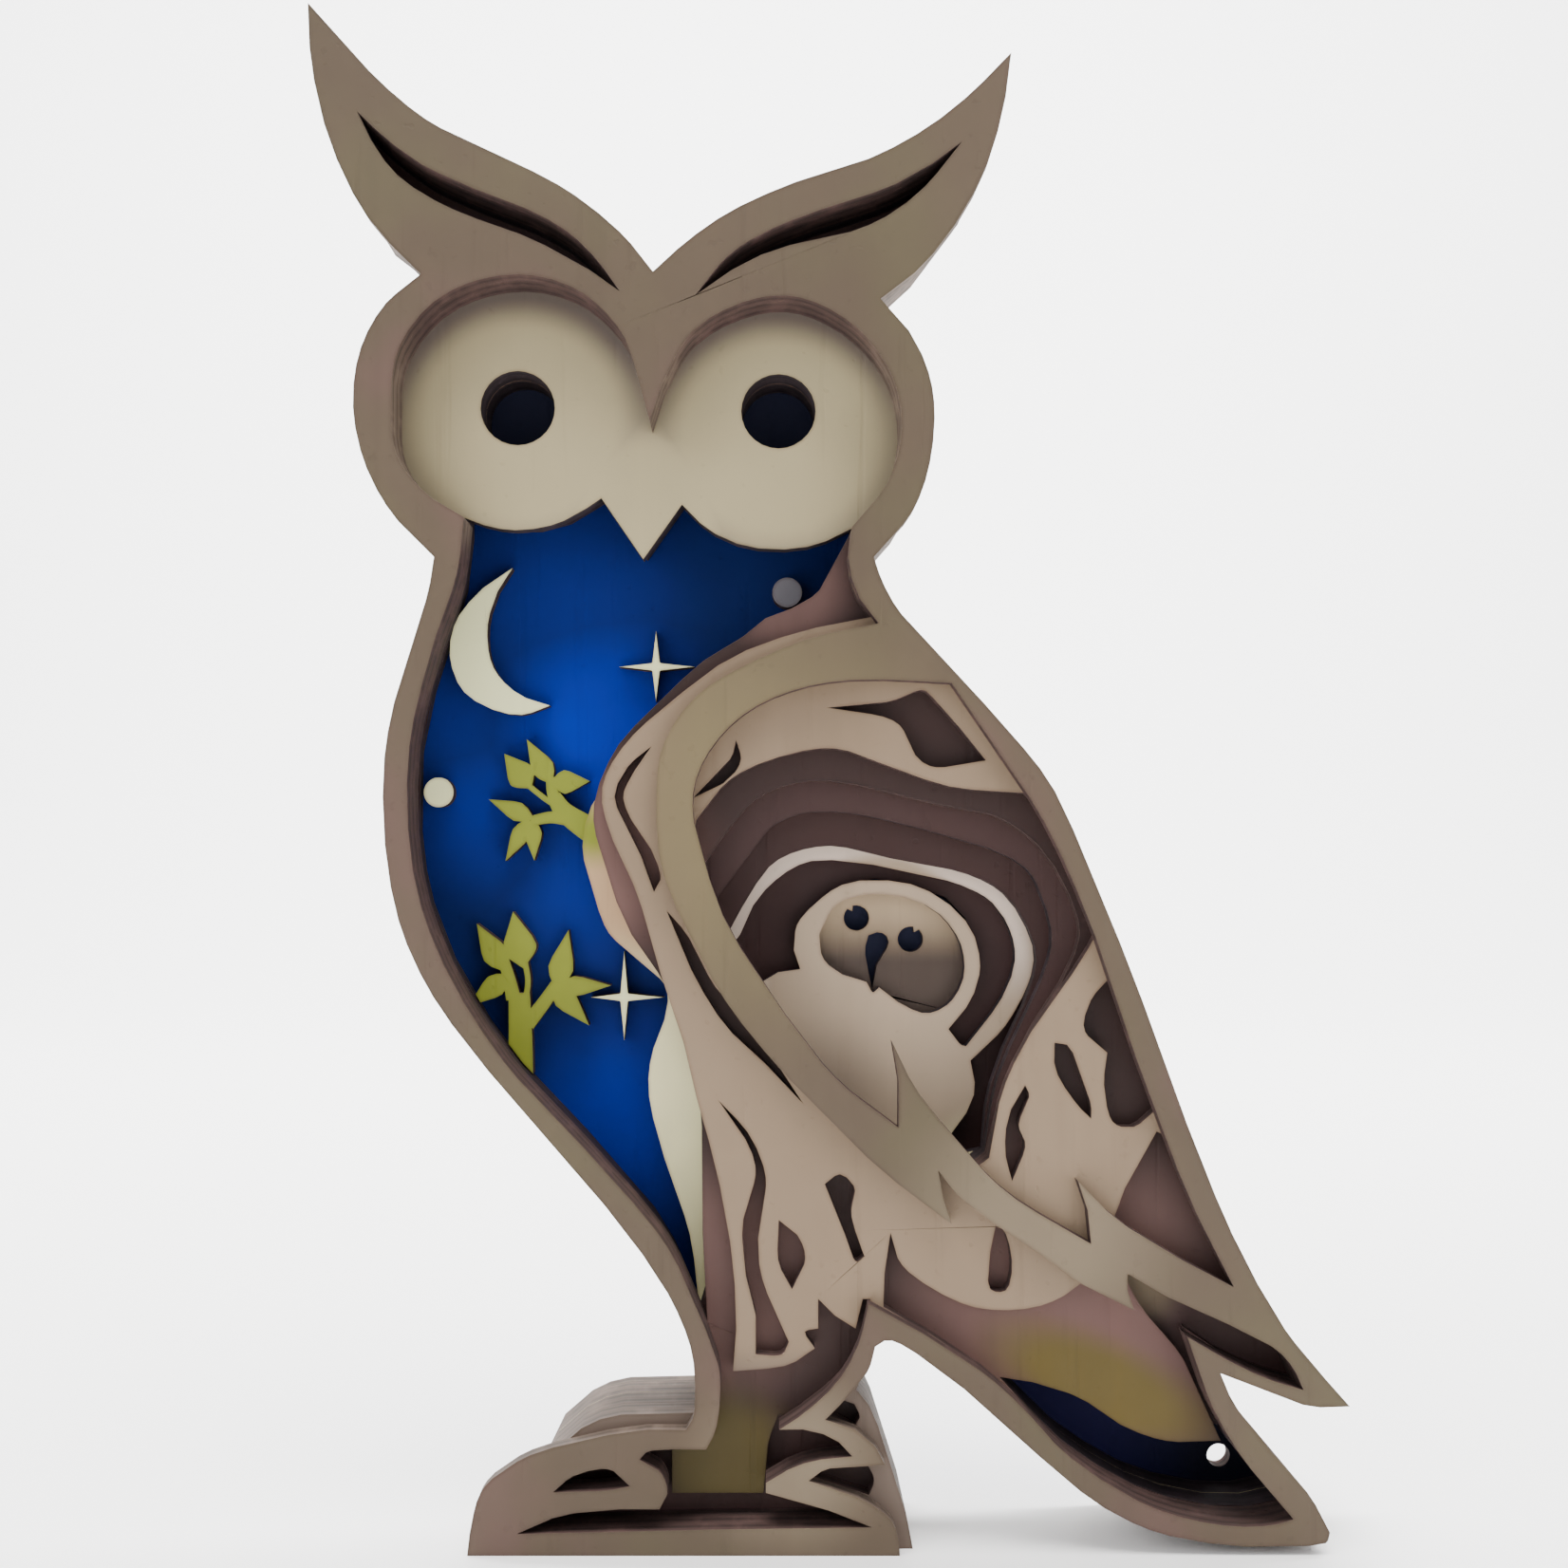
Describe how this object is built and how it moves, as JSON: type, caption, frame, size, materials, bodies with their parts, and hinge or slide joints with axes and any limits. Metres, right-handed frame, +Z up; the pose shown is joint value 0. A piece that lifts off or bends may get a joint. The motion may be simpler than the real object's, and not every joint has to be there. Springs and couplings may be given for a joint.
{
  "type": "owl ornament",
  "caption": "Free-standing layered plywood owl whose chest opens onto a night sky and whose wing opens into a hollow tree with an owlet.",
  "frame": {"origin": "middle of the ornament's width and depth, on the surface that its foot stands on", "axes": "+Z up the owl's height, +Y towards its back, so the owl faces -Y; +X to the viewer's right"},
  "size_m": [0.157, 0.024, 0.234],
  "materials": {
    "front_frame": "matt tan wash on plywood",
    "bark_trunk": "matt pale tan wash on plywood",
    "mossy_wood": "matt dark brown, sprayed olive at the leg and tail",
    "hollow_ring_outer": "matt mauve brown",
    "face_plate": "matt cream",
    "hollow_ring_inner": "matt dark umber",
    "owlet_trunk": "matt cream, browned round the owlet",
    "hollow_back": "matt dark brown",
    "owlet_face": "matt tan",
    "night_board": "satin uneven royal blue",
    "moon": "matt cream",
    "dot_left": "matt cream",
    "dot_right": "matt cream",
    "star_upper": "matt cream",
    "star_lower": "matt cream",
    "leafy_branch": "matt yellow olive",
    "leafy_tree": "matt yellow olive"
  },
  "bodies": {
    "root": {"front_frame": "front_frame", "bark_trunk": "bark_trunk", "mossy_wood": "mossy_wood", "hollow_ring_outer": "hollow_ring_outer", "face_plate": "face_plate", "hollow_ring_inner": "hollow_ring_inner", "owlet_trunk": "owlet_trunk", "hollow_back": "hollow_back", "owlet_face": "owlet_face", "night_board": "night_board", "moon": "moon", "dot_left": "dot_left", "dot_right": "dot_right", "star_upper": "star_upper", "star_lower": "star_lower", "leafy_branch": "leafy_branch", "leafy_tree": "leafy_tree"}
  },
  "joints": []
}
